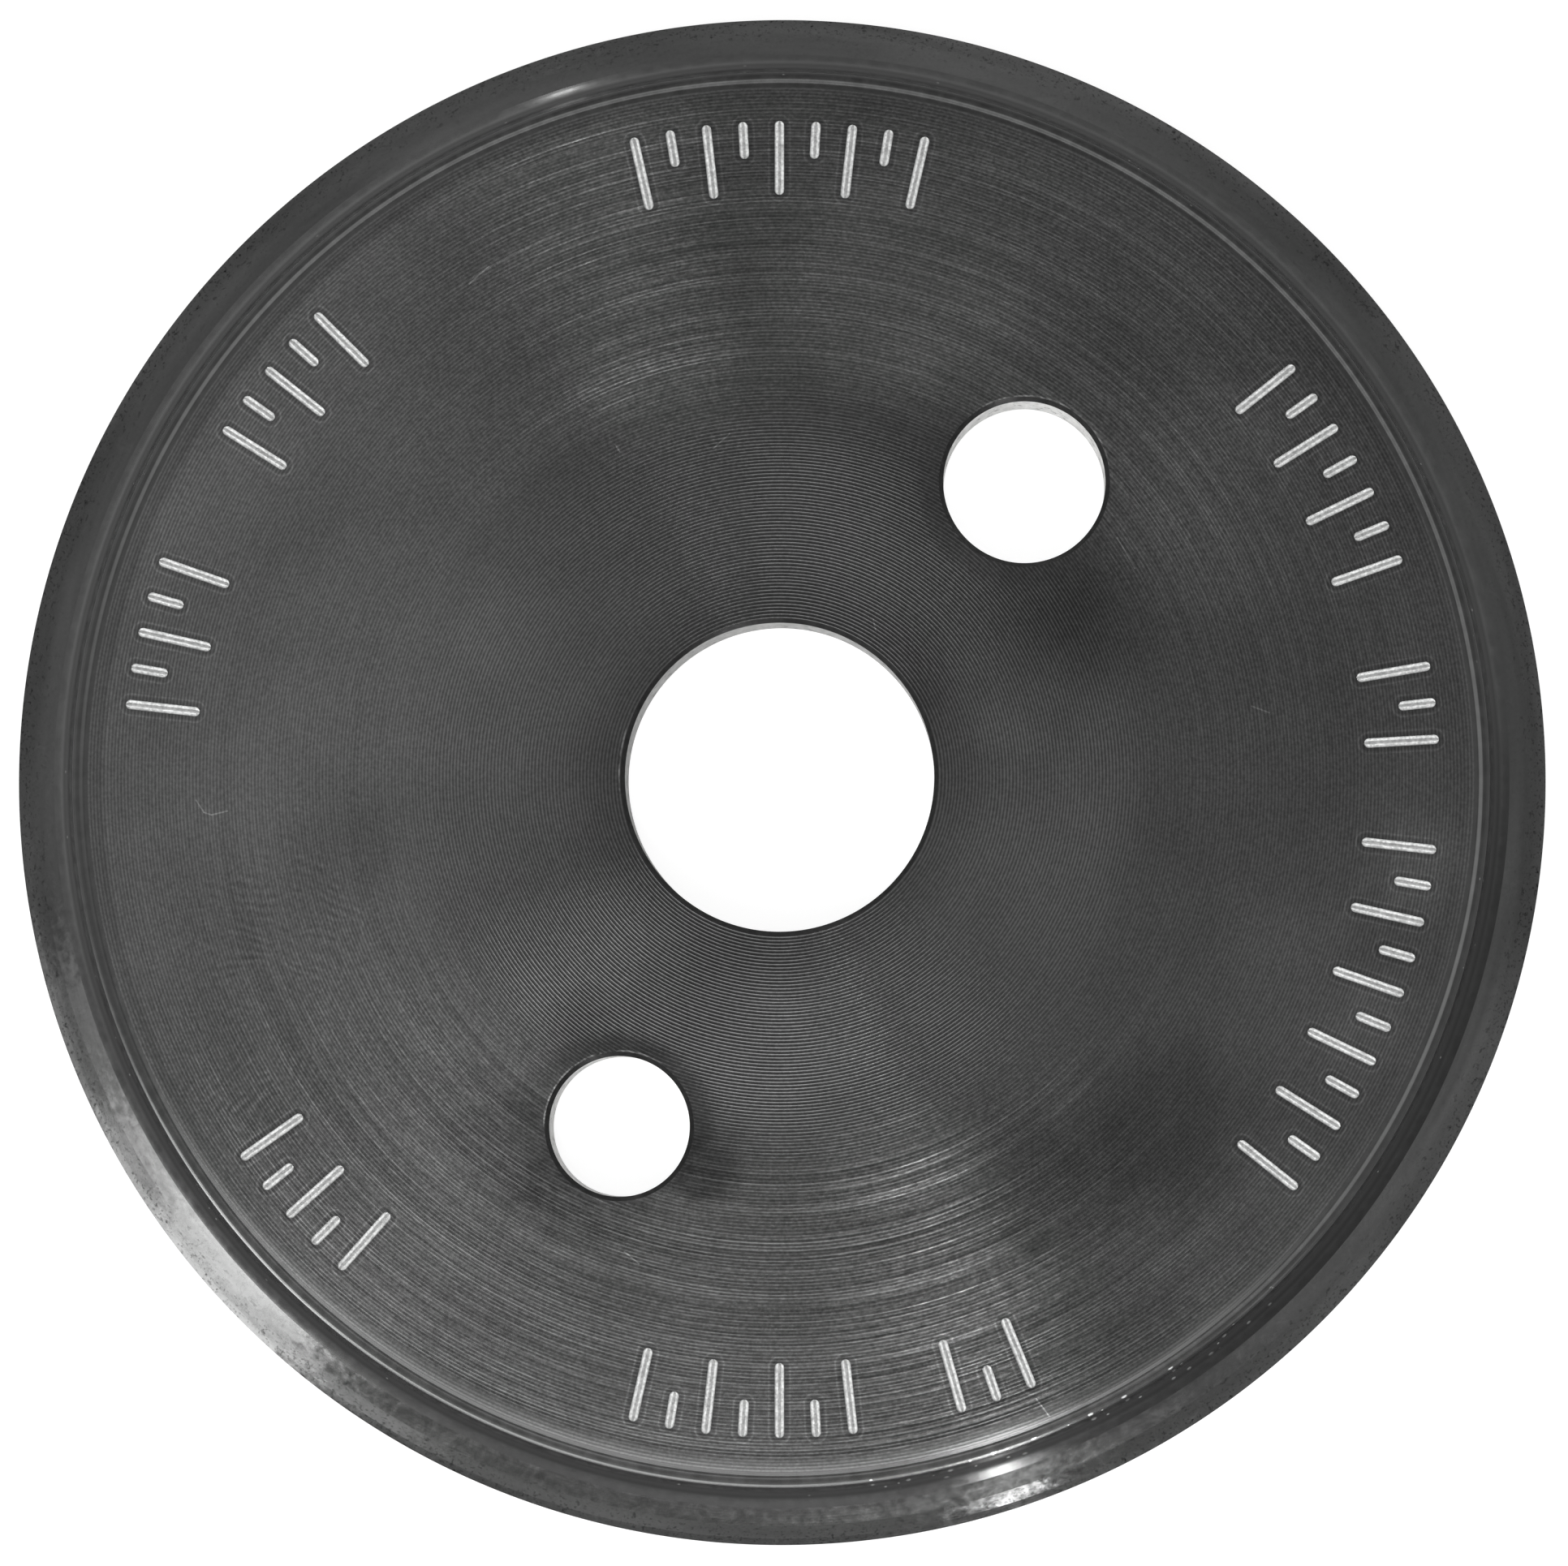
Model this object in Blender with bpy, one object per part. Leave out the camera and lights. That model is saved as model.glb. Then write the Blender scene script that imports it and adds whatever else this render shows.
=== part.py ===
"""Cutter wheel for a powered pipe cutter: one hardened steel disc.

The wheel is turned from one blank. A thick body with two flat clamping faces carries
the bore and two drive-pin holes. At its rim a cove steps each side down to a thin
blade, which is ground to a bevel and then to a steeper bevel that ends in the
cutting edge. Both sides are the same.

The wheel lies flat. Its lower clamping face is at z = 0 and the bore is on the Z axis.
"""

from math import atan2, cos, hypot, radians, sin, tan

import bmesh
import bpy

MM = 0.001

# Disc
WHEEL_DIAMETER = 70.0 * MM
BODY_THICKNESS = 4.2 * MM

# Bore and drive-pin holes
BORE_DIAMETER = 14.1 * MM
PIN_CIRCLE_DIAMETER = 35.0 * MM
LARGE_PIN_HOLE_DIAMETER = 7.4 * MM
LARGE_PIN_HOLE_ANGLE = radians(50.3)
SMALL_PIN_HOLE_DIAMETER = 6.4 * MM
SMALL_PIN_HOLE_ANGLE = radians(245.4)
HOLE_CHAMFER = 0.2 * MM

# Rim, each width measured along the radius, from the cutting edge inwards
EDGE_BEVEL_WIDTH = 0.9 * MM
EDGE_BEVEL_ANGLE = radians(27.0)
MAIN_BEVEL_WIDTH = 0.8 * MM
MAIN_BEVEL_ANGLE = radians(17.0)
COVE_WIDTH = 1.1 * MM
COVE_TURN = radians(46.0)
LAND_WIDTH = 0.32 * MM
LAND_DEPTH = 0.06 * MM

# Fineness of the round forms
WHEEL_SEGMENTS = 160
PIN_HOLE_SEGMENTS = 56
COVE_STEPS = 6

# How far a cutter reaches past the face it cuts
CUTTER_OVERRUN = 1.0 * MM


def clear_scene():
    for obj in list(bpy.data.objects):
        bpy.data.objects.remove(obj, do_unlink=True)


def blackened_steel():
    material = bpy.data.materials.new("blackened_tool_steel")
    material.use_nodes = True
    shader = material.node_tree.nodes["Principled BSDF"]
    shader.inputs["Base Color"].default_value = (0.075, 0.077, 0.078, 1.0)
    shader.inputs["Metallic"].default_value = 1.0
    shader.inputs["Roughness"].default_value = 0.38
    material.diffuse_color = (0.075, 0.077, 0.078, 1.0)
    return material


def hollow_arc(start, end, turn, steps):
    """Points of the hollow arc that falls from start to end and turns through an angle.

    Points are (radius, height) pairs and the slopes are angles below the horizontal.
    The start is left out and the end is included.
    """
    run = end[0] - start[0]
    drop = start[1] - end[1]
    end_slope = atan2(drop, run) - turn / 2.0
    radius = hypot(run, drop) / (2.0 * sin(turn / 2.0))
    # The arc's centre lies above and outside the surface, square to its end.
    centre = (end[0] + radius * sin(end_slope), end[1] + radius * cos(end_slope))
    points = []
    for step in range(1, steps + 1):
        slope = end_slope + turn * (1.0 - step / steps)
        points.append((centre[0] - radius * sin(slope), centre[1] - radius * cos(slope)))
    return points


def upper_half_profile():
    """Section of the upper half from the bore to just short of the cutting edge.

    Heights are measured from the middle plane of the wheel.
    """
    half = BODY_THICKNESS / 2.0
    bore = BORE_DIAMETER / 2.0
    edge = WHEEL_DIAMETER / 2.0

    edge_bevel_start = edge - EDGE_BEVEL_WIDTH
    edge_bevel_height = EDGE_BEVEL_WIDTH * tan(EDGE_BEVEL_ANGLE)
    blade_root = edge_bevel_start - MAIN_BEVEL_WIDTH
    blade_root_height = edge_bevel_height + MAIN_BEVEL_WIDTH * tan(MAIN_BEVEL_ANGLE)
    cove_top = blade_root - COVE_WIDTH
    face_edge = cove_top - LAND_WIDTH

    points = [
        (bore, half - HOLE_CHAMFER),
        (bore + HOLE_CHAMFER, half),
        (face_edge - LAND_DEPTH, half),
        (face_edge, half - LAND_DEPTH),
        (cove_top, half - LAND_DEPTH),
    ]
    points += hollow_arc(points[-1], (blade_root, blade_root_height), COVE_TURN, COVE_STEPS)
    points.append((edge_bevel_start, edge_bevel_height))
    return points


def wheel_profile():
    """Closed section of the wheel, from the bore over the top to the edge and back."""
    upper = upper_half_profile()
    lower = [(radius, -height) for radius, height in reversed(upper)]
    section = upper + [(WHEEL_DIAMETER / 2.0, 0.0)] + lower
    middle = BODY_THICKNESS / 2.0
    return [(radius, height + middle) for radius, height in section]


def pin_hole_profile(diameter):
    """Closed section of the cutter of a pin hole, with a countersink at each face."""
    wall = diameter / 2.0
    reach = HOLE_CHAMFER + CUTTER_OVERRUN
    top = BODY_THICKNESS
    return [
        (0.0, top + CUTTER_OVERRUN),
        (wall + reach, top + CUTTER_OVERRUN),
        (wall, top - HOLE_CHAMFER),
        (wall, HOLE_CHAMFER),
        (wall + reach, -CUTTER_OVERRUN),
        (0.0, -CUTTER_OVERRUN),
    ]


def turned_mesh(name, profile, segments, closed):
    """Turn a section round the Z axis into a closed body."""
    bm = bmesh.new()
    verts = [bm.verts.new((radius, 0.0, height)) for radius, height in profile]
    edges = [bm.edges.new(pair) for pair in zip(verts, verts[1:])]
    if closed:
        edges.append(bm.edges.new((verts[-1], verts[0])))
    bmesh.ops.spin(
        bm,
        geom=verts + edges,
        cent=(0.0, 0.0, 0.0),
        axis=(0.0, 0.0, 1.0),
        angle=radians(360.0),
        steps=segments,
        use_merge=True,
    )
    bmesh.ops.remove_doubles(bm, verts=bm.verts, dist=0.0001 * MM)
    bmesh.ops.recalc_face_normals(bm, faces=bm.faces)
    mesh = bpy.data.meshes.new(name)
    bm.to_mesh(mesh)
    bm.free()
    return mesh


def add_object(name, mesh):
    obj = bpy.data.objects.new(name, mesh)
    bpy.context.scene.collection.objects.link(obj)
    return obj


def cut_pin_hole(wheel, name, diameter, angle):
    """Cut one drive-pin hole, countersunk at both faces, on the pin circle."""
    mesh = turned_mesh(name, pin_hole_profile(diameter), PIN_HOLE_SEGMENTS, closed=False)
    cutter = add_object(name, mesh)
    reach = PIN_CIRCLE_DIAMETER / 2.0
    cutter.location = (reach * cos(angle), reach * sin(angle), 0.0)
    cutter.hide_render = True
    cutter.display_type = "WIRE"
    cut = wheel.modifiers.new(name, "BOOLEAN")
    cut.operation = "DIFFERENCE"
    cut.solver = "EXACT"
    cut.object = cutter


def build_cutter_wheel():
    mesh = turned_mesh("cutter_wheel", wheel_profile(), WHEEL_SEGMENTS, closed=True)
    mesh.materials.append(blackened_steel())
    mesh.shade_smooth()
    mesh.set_sharp_from_angle(angle=radians(8.0))
    wheel = add_object("cutter_wheel", mesh)
    cut_pin_hole(wheel, "large_pin_hole", LARGE_PIN_HOLE_DIAMETER, LARGE_PIN_HOLE_ANGLE)
    cut_pin_hole(wheel, "small_pin_hole", SMALL_PIN_HOLE_DIAMETER, SMALL_PIN_HOLE_ANGLE)
    return wheel


clear_scene()
build_cutter_wheel()
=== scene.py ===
"""Looks of a pipe cutter wheel: blackened turned steel, ground to a cutting edge.

The wheel is one piece, so one finely turned mesh stands for the CAD solid. Its rim has
the rings, the cove and the bevels of the real wheel, and each kind of surface has its own
material: turned face, cove, ground bevels, bare hole walls, chamfers and etched marks.
Lengths are in millimetres until a mesh or an object is made.
"""

from math import atan2, cos, hypot, pi, radians, sin, tan

import bmesh
import bpy
from mathutils import Matrix, Vector, noise


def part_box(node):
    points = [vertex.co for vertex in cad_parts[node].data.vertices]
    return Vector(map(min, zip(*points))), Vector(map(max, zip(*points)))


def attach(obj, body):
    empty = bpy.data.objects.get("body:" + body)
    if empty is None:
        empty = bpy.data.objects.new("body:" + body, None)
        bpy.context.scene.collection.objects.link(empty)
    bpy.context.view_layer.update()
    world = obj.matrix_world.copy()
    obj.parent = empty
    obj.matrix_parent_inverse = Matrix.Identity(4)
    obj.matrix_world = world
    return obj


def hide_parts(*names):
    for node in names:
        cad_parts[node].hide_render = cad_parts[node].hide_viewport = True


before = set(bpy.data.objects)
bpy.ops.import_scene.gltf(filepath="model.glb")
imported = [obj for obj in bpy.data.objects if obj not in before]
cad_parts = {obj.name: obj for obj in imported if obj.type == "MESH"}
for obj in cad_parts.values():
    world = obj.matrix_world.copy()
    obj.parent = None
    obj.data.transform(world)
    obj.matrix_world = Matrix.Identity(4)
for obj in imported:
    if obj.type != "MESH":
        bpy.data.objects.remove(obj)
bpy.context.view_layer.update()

MM = 0.001
LOW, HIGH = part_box("cutter_wheel")

# Disc, from the frame
RADIUS = (HIGH[0] - LOW[0]) / 2.0 / MM
THICKNESS = (HIGH[2] - LOW[2]) / MM
HALF = THICKNESS / 2.0

# Bore and pin holes, as in the CAD
BORE_RADIUS = 7.05
PIN_CIRCLE_RADIUS = 17.5
LARGE_HOLE_RADIUS = 3.7
LARGE_HOLE_ANGLE = radians(50.3)
SMALL_HOLE_RADIUS = 3.2
SMALL_HOLE_ANGLE = radians(245.4)
CHAMFER = 0.2

# Rim, as radii on the wheel, a depth below the clamping face, and slopes
FACE_FLAT_RADIUS = 31.02
ROLL_OFF_RADIUS = 31.62
ROLL_OFF_ANGLE = radians(10.5)
ROLL_OFF_STEPS = 8
RIDGE_RADIUS = 31.86
LAND_START_RADIUS = 32.03
LAND_DEPTH = 0.075
CREST_ROUNDING = 0.05
CREST_LIP = 0.14
COVE_TOP_RADIUS = 32.3
COVE_TURN = radians(46.0)
CORNER_RADIUS = 33.3
MAIN_BEVEL_ANGLE = radians(17.0)
BAND_RADIUS = 34.1
BAND_ANGLE = radians(28.0)
EDGE_RADIUS = 34.7
EDGE_ANGLE = radians(20.0)

# Ridge between two narrow grooves of the tool's last passes: offsets from its radius and
# heights over the land
RIDGE_SECTION = [(-0.09, -0.002), (-0.05, -0.002), (-0.012, 0.001), (0.012, 0.001),
                 (0.05, -0.002), (0.09, -0.002)]

# Crest between land and cove: rings of its lip as width and slope in degrees, then the
# slopes where it rounds over
LIP_RINGS = [(0.012, 5.0), (0.02, 8.0), (0.04, 11.5), (0.045, 14.0)]
ROUNDING_START = radians(15.0)
ROUNDING_SLOPES = [24.0, 38.0, 54.0, 70.0]

# Fineness, and the narrow rings that keep the shading of the flat face flat
WHEEL_SEGMENTS = 800
HOLE_SEGMENTS = 200
COVE_STEPS = 16
GUARD_WIDTH = 0.1
SHARP_ANGLE = radians(6.0)

# How far a cutter of a pin hole reaches past the faces
CUTTER_OVERRUN = 1.0

# Turning marks: step of the feed, slope of its hollows and how far its rings wander
FEED = 0.1565
TOOL_SLOPE = 0.185
FEED_WOBBLE = 0.8

# The marks are even inside one radius, and uneven and shallower outside the other.
EVEN_RADIUS = 14.5
UNEVEN_RADIUS = 18.0
OUTER_DEPTH = 0.44

# Round the pin holes they are fainter: where that is full, where it ends, and what is left
CALM_INNER = 0.4
CALM_OUTER = 1.5
CALM_DEPTH = 0.35

# Axis on whose two ends the tool chattered, degrees beside it where that is full and where
# it ends, and what it does to the uneven and to the even marks
CHATTER_AXIS = 287.5
CHATTER_FULL = 3.0
CHATTER_END = 15.0
CHATTER_GAIN = 2.3
EVEN_DEPTH_NEAR_AXIS = 0.8

# Slopes of the uneven marks and of the torn grains in them, the radii from which they grow
# and are full, and the share of them inside
BAND_SLOPE = 0.03
LINE_SLOPE = 0.05
GRAIN_SLOPE = 0.032
GRAIN_GAIN = 1.5
SIDE_GRAIN_SLOPE = 0.013
TORN_RADII = (15.0, 20.0)
TORN_INSIDE = 0.04

# Share of the marks that is left where the face rolls off
ROLLED_MARKS = 0.25

# Roughness of the turned face: radii of its change, inside and outside, and its gain where
# the tool chattered
ROUGHNESS_RADII = (14.0, 19.0)
FACE_ROUGHNESS = (0.13, 0.2)
CHATTER_ROUGHNESS = 1.16

# The face is a little darker round the bore: radii of the change, and the shade
BORE_SHADE_RADII = (7.3, 10.5)
BORE_SHADE = 0.8

# Etched index marks: plain radial strokes on a ring of equal steps, long and short by
# turns, in rows given as first and last step
MARK_STEP = 2.0 * pi / 112
MARK_ROWS = [(24, 32), (6, 12), (1, 3), (-12, -2), (-23, -21), (-32, -26), (-45, -41),
             (50, 54), (42, 46)]
MARK_OUTER_RADIUS = 30.05
LONG_MARK = 3.4
SHORT_MARK = 1.7
MARK_WIDTH = 0.43
MARK_DEPTH = 0.05

# Section of a stroke, as (share of its half width, share of its depth): two burnt grooves
# side by side
STROKE_SECTION = [(-1.0, 0.3), (-0.78, 0.8), (-0.48, 1.0), (-0.16, 0.45), (0.16, 0.45),
                  (0.48, 1.0), (0.78, 0.8), (1.0, 0.3)]
STROKE_END_ANGLES = (86.0, 68.0, 50.0, 32.0, 16.0)
STROKE_STEP = 0.22
STROKE_CUTTER_RISE = 0.3

# Unevenness of a stroke's floor: cells per millimetre and share of its depth, and the height
# of the finest crust, which is in its material
FINE_CRUST_SCALE = 5.3
FINE_CRUST = 0.35
COARSE_CRUST_SCALE = 3.1
COARSE_CRUST = 0.2
CRUST_BUMP = 0.03

# Heat rim of a stroke: where its dark part is full and where it ends, its change of
# brightness, and the same for the thin light line outside it
HALO_DARK_FULL = 0.1
HALO_DARK_END = 0.24
HALO_DARK = -0.22
HALO_LINE_PLACE = 0.27
HALO_LINE = 0.3

# Stains and painted shade and light on the upper face: centre, reach and soft rim in
# millimetres, and depth of shade, which is below nought where the face is lighter. Their
# outlines wander.
PATCH_WANDER = 0.8
STAINS_AND_PAINTED_SHADE = [
    ((12.3, 8.3), 1.2, 3.6, 0.18),
    ((14.6, 7.0), 0.8, 3.2, 0.12),
    ((7.6, 14.6), 1.6, 3.6, 0.20),
    ((-3.2, -17.6), 0.5, 2.0, 0.46),
    ((-9.6, -19.0), 0.6, 2.4, 0.28),
    ((-11.8, -16.9), 1.0, 3.0, 0.34),
    ((-8.2, -11.8), 0.6, 3.2, 0.22),
    ((-7.3, -15.9), 3.4, 1.8, 0.22),
    ((17.3, -16.2), 1.4, 4.2, 0.30),
    ((11.2, -20.8), 0.3, 1.0, 0.18),
    ((28.9, -4.0), 0.6, 2.6, -0.30),
    ((27.2, -11.2), 0.6, 2.6, -0.18),
    ((22.8, -18.8), 0.6, 2.6, -0.16),
    ((-20.0, -3.6), 1.0, 3.0, 0.12),
    ((-9.0, 12.0), 1.0, 4.0, 0.12),
    ((9.5, -1.5), 3.0, 6.0, -0.15),
    ((12.3, -18.2), 1.0, 4.2, 0.26),
    ((14.5, -25.5), 1.5, 4.0, 0.14),
    ((-11.0, -25.0), 3.0, 5.0, 0.17),
    ((-19.5, -16.5), 2.0, 5.0, 0.12),
    ((-4.7, -10.0), 1.2, 3.4, 0.16),
    ((-0.2, -12.5), 1.2, 4.0, -0.18),
    ((-12.0, 22.5), 2.5, 5.0, 0.18),
    ((5.0, 22.9), 3.0, 5.0, -0.26),
    ((9.0, 4.0), 1.0, 4.0, -0.14),
    ((21.5, 12.5), 3.0, 5.0, -0.16),
    ((23.5, -9.5), 1.5, 4.0, -0.12),
    ((-14.0, -15.2), 0.6, 2.6, 0.18),
]

# Sides of the upper face with painted light, lighter as if lit from that side: direction in
# degrees, how far out it starts and is full, and its gain
PAINTED_LIGHT_SIDES = [
    (190.0, 0.0, 18.0, 0.62),
    (78.0, 9.0, 19.0, 0.08),
]

# Painted light and shade on sides of the roll-off: direction in degrees, reach and end in
# degrees round it, and gain
ROLL_OFF_PAINTED_SIDES = [
    (280.0, 10.0, 30.0, -0.12),
    (304.0, 8.0, 17.0, -0.26),
    (226.0, 12.0, 26.0, -0.24),
    (70.0, 18.0, 42.0, 0.25),
]

# Painted highlight and shade on sides of the crest above the cove, given the same way
CREST_PAINTED_SIDES = [
    (240.0, 18.0, 46.0, 0.5),
    (150.0, 30.0, 60.0, 0.2),
    (301.0, 5.0, 12.0, -0.5),
]

# Painted shade and light on sides of the cove, given the same way
COVE_PAINTED_SIDES = [
    (330.0, 15.0, 44.0, -0.5),
    (150.0, 28.0, 60.0, 0.26),
    (228.0, 15.0, 45.0, -0.12),
]

# Painted light on sides of the bevels, given the same way
BEVEL_PAINTED_SIDES = [
    (88.0, 25.0, 45.0, 0.26),
    (327.0, 9.0, 22.0, 0.36),
]

# Fine scratches on the upper face: half widths of their core and of their soft rim, their
# brightness, and their ends
HAIRLINE_CORE = 0.012
HAIRLINE_RIM = 0.05
HAIRLINE_STRENGTH = 0.9
HAIRLINES = [
    ((-3.01, 15.03), (-2.27, 15.69)),
    ((-7.5, 15.2), (-7.3, 14.9)),
    ((15.4, 10.9), (16.2, 9.5)),
    ((-26.63, -1.04), (-26.26, -1.60)),
    ((-26.26, -1.60), (-25.93, -1.71)),
    ((-25.93, -1.71), (-25.19, -1.53)),
    ((11.65, -28.26), (12.23, -29.03)),
    ((4.28, 7.17), (4.40, 6.66)),
    ((-7.05, -21.6), (-6.38, -22.15)),
    ((21.5, 3.2), (22.3, 2.9)),
    ((-14.2, 22.6), (-13.3, 23.4)),
]

# Finger marks: centre, reach and the point that their ridges circle, then the step of the
# ridges, how much they bend, and their brightness
FINGER_MARKS = [
    ((-22.8, -6.6), 5.4, (-26.0, -20.0)),
    ((-23.4, -15.0), 4.0, (-31.0, -9.0)),
]
FINGER_RIDGE_STEP = 0.43
FINGER_BEND = 26.0
FINGER_STRENGTH = 0.13

# Side where a painted highlight makes the ridge by the cove bright, and what that adds opposite
# and there
RIDGE_HIGHLIGHT_SIDE = 60.0
RIDGE_HIGHLIGHT_GAIN = (0.1, 2.3)

# Zones of the cove's painted shade and light, each as the radii where it starts and is full, and
# their shades
CREST_ZONE = (32.28, 32.4)
CREST_PAINTED_LIGHT = (1.12, 1.36)
CREST_FADE = (32.44, 32.6)
COVE_FLOOR_ZONE = (32.76, 32.97)
COVE_PAINTED_SHADE = (0.48, 1.13)

# Painted glints of the cove: cells per millimetre along it and across it, offset of the lower
# half's pattern, radii where they start and end, the side with most, their growth there, the
# share of empty cells, how much of it that side fills, and their brightness
GLINTS_ALONG = 1.7
GLINTS_ACROSS = 3.6
LOWER_GLINTS_OFFSET = 71.0
GLINTS_START = (32.14, 32.2)
GLINTS_END = (32.45, 32.9)
GLINTING_SIDE = 296.0
GLINT_GROWTH = 1.9
EMPTY_CELLS = 0.93
GLINT_CROWDING = 0.42
GLINT_BRIGHTNESS = 3.8

# Colours of the surfaces, all nearly neutral
FACE_COLOUR = (0.098, 0.0985, 0.098)
COVE_COLOUR = (0.074, 0.0745, 0.074)
BEVEL_COLOUR = (0.079, 0.0795, 0.079)
WALL_COLOUR = (1.0, 1.0, 0.99)
CHAMFER_COLOUR = (0.034, 0.034, 0.034)
ETCHED_COLOUR = (0.66, 0.665, 0.66)

# Floor: half its width in metres, its depth below the wheel, its shade for the light, and
# its glow and its shade where it is seen
FLOOR_REACH = 3.0
FLOOR_DROP = 0.02
FLOOR_PLAIN = 0.8
FLOOR_GLOW = 0.86
FLOOR_SHADED = 0.3

# Light: level of the room, the shade of the camera's stand, and lamps as direction from
# +X, angle from straight up, width and length as seen from the wheel in degrees, and radiance
ROOM_LIGHT = 0.69
SHADE_DIRECTION = (74.0, 17.0)
SHADE_INNER = 5.0
SHADE_OUTER = 20.0
SHADE_LIGHT = -0.42
LAMPS = [
    ("overhead_panel", 260.0, 18.0, 43.0, 13.0, 1.95),
    ("upper_panel", 252.0, 29.0, 28.0, 7.0, 4.7),
    ("left_softbox", 218.5, 41.5, 10.6, 15.0, 8.0),
    ("left_softbox_side", 206.5, 41.5, 5.3, 15.0, 4.5),
    ("left_softbox_foot", 219.8, 57.0, 15.6, 16.0, 7.5),
    ("left_softbox_corner", 206.5, 57.0, 6.7, 16.0, 3.5),
    ("left_fade", 196.5, 49.0, 9.0, 30.0, 1.2),
    ("left_glow", 234.0, 58.0, 8.0, 14.0, 1.2),
    ("low_panel", 252.0, 69.5, 50.0, 27.0, 0.5),
    ("high_lamp", 287.5, 28.4, 3.4, 5.6, 56.0),
    ("middle_lamp", 287.5, 38.0, 1.4, 5.0, 11.0),
    ("rim_lamp", 287.2, 72.0, 1.5, 34.0, 38.0),
    ("far_lamp", 108.0, 80.0, 1.4, 8.0, 24.0),
]
LAMP_DISTANCE = 900.0

# Camera, as it stood over the wheel
VIEW_HEIGHT = 350.8
VIEW_FOOT = (8.53, -16.80)
VIEW_AIM = (0.21, -0.28)
FRAME_WIDTH_PX = 1932
FOCAL_PX = 9500
SENSOR = 36.0

# Surface kinds, in the order of the wheel's material slots
FACE, COVE, BEVEL, WALL, CHAMFERED, MARK = range(6)


def on_circle(radius, angle):
    return radius * cos(angle), radius * sin(angle)


def direction(azimuth, polar):
    """Unit vector from degrees round from +X and degrees down from straight up."""
    a, p = radians(azimuth), radians(polar)
    return Vector((sin(p) * cos(a), sin(p) * sin(a), cos(p)))


LARGE_HOLE_CENTRE = on_circle(PIN_CIRCLE_RADIUS, LARGE_HOLE_ANGLE)
SMALL_HOLE_CENTRE = on_circle(PIN_CIRCLE_RADIUS, SMALL_HOLE_ANGLE)

# Burr lines at the mouths of the holes: centre and radius of the mouth, then the middle of
# the line and its reach to each side in degrees
BURRS = [
    (LARGE_HOLE_CENTRE, LARGE_HOLE_RADIUS + CHAMFER, 68.0, 60.0),
    (SMALL_HOLE_CENTRE, SMALL_HOLE_RADIUS + CHAMFER, 120.0, 72.0),
    ((0.0, 0.0), BORE_RADIUS + CHAMFER + 0.04, 174.0, 14.0),
]
BURR_OFFSET = 0.035
BURR_STRENGTH = 1.6


# Node helpers

class Nodes:
    """Builds one node tree. Values may be numbers, tuples or other nodes' sockets."""

    def __init__(self, owner):
        owner.use_nodes = True
        self.tree = owner.node_tree
        self.tree.nodes.clear()

    def add(self, kind, values=(), **settings):
        node = self.tree.nodes.new(kind)
        for name, value in settings.items():
            setattr(node, name, value)
        pairs = values.items() if isinstance(values, dict) else enumerate(values)
        for key, value in pairs:
            self.put(node.inputs[key], value)
        return node

    def put(self, socket, value):
        if isinstance(value, bpy.types.NodeSocket):
            self.tree.links.new(value, socket)
        else:
            socket.default_value = value

    def math(self, operation, *values, clamp=False):
        node = self.add("ShaderNodeMath", values, operation=operation, use_clamp=clamp)
        return node.outputs[0]

    def times(self, first, *others):
        for other in others:
            first = self.math("MULTIPLY", first, other)
        return first

    def plus(self, first, *others):
        for other in others:
            first = self.math("ADD", first, other)
        return first

    def vector(self, operation, *values):
        node = self.add("ShaderNodeVectorMath", values, operation=operation)
        scalar = operation in ("LENGTH", "DISTANCE", "DOT_PRODUCT")
        return node.outputs["Value" if scalar else "Vector"]

    def scaled(self, vector, factor):
        values = {0: vector, "Scale": factor}
        return self.add("ShaderNodeVectorMath", values, operation="SCALE").outputs["Vector"]

    def combine(self, x=0.0, y=0.0, z=0.0):
        return self.add("ShaderNodeCombineXYZ", (x, y, z)).outputs[0]

    def noise(self, vector, scale, detail=2.0, roughness=0.5, distortion=0.0):
        values = {"Vector": vector, "Scale": scale, "Detail": detail,
                  "Roughness": roughness, "Distortion": distortion}
        return self.add("ShaderNodeTexNoise", values, noise_dimensions="3D").outputs["Fac"]

    def swing(self, value, reach):
        """A noise value, which lies round one half, turned into one of about -reach to reach."""
        return self.math("MULTIPLY", self.math("SUBTRACT", value, 0.5), 4.0 * reach)

    def ramp(self, value, low, high, out_low=0.0, out_high=1.0, smooth=True):
        node = self.add("ShaderNodeMapRange", (value, low, high, out_low, out_high))
        node.interpolation_type = "SMOOTHSTEP" if smooth else "LINEAR"
        return node.outputs[0]

    def stretched(self, value, out_low, out_high, smooth=True):
        """A noise value, most of it from 0.3 to 0.7, stretched over another range."""
        return self.ramp(value, 0.3, 0.7, out_low, out_high, smooth)

    def mix(self, factor, first, second):
        """Two shader nodes mixed, the second where the factor is one."""
        node = self.add("ShaderNodeMixShader")
        for index, value in enumerate((factor, first.outputs[0], second.outputs[0])):
            self.put(node.inputs[index], value)
        return node.outputs[0]

    def finish(self, **values):
        shader = self.add("ShaderNodeBsdfPrincipled")
        for name, value in values.items():
            self.put(shader.inputs[name.replace("_", " ")], value)
        output = self.add("ShaderNodeOutputMaterial")
        self.tree.links.new(shader.outputs[0], output.inputs["Surface"])


class WheelPlace:
    """Sockets that say where on the wheel a point is, in millimetres, and its directions."""

    def __init__(self, nodes):
        point = nodes.add("ShaderNodeTexCoord").outputs["Object"]
        self.point = nodes.scaled(point, 1.0 / MM)
        self.flat = nodes.vector("MULTIPLY", self.point, (1.0, 1.0, 0.0))
        self.radius = nodes.vector("LENGTH", self.flat)
        self.outward = nodes.vector("NORMALIZE", self.flat)
        self.around = nodes.vector("CROSS_PRODUCT", (0.0, 0.0, 1.0), self.outward)
        self.height = nodes.vector("DOT_PRODUCT", self.point, (0.0, 0.0, 1.0))


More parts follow.
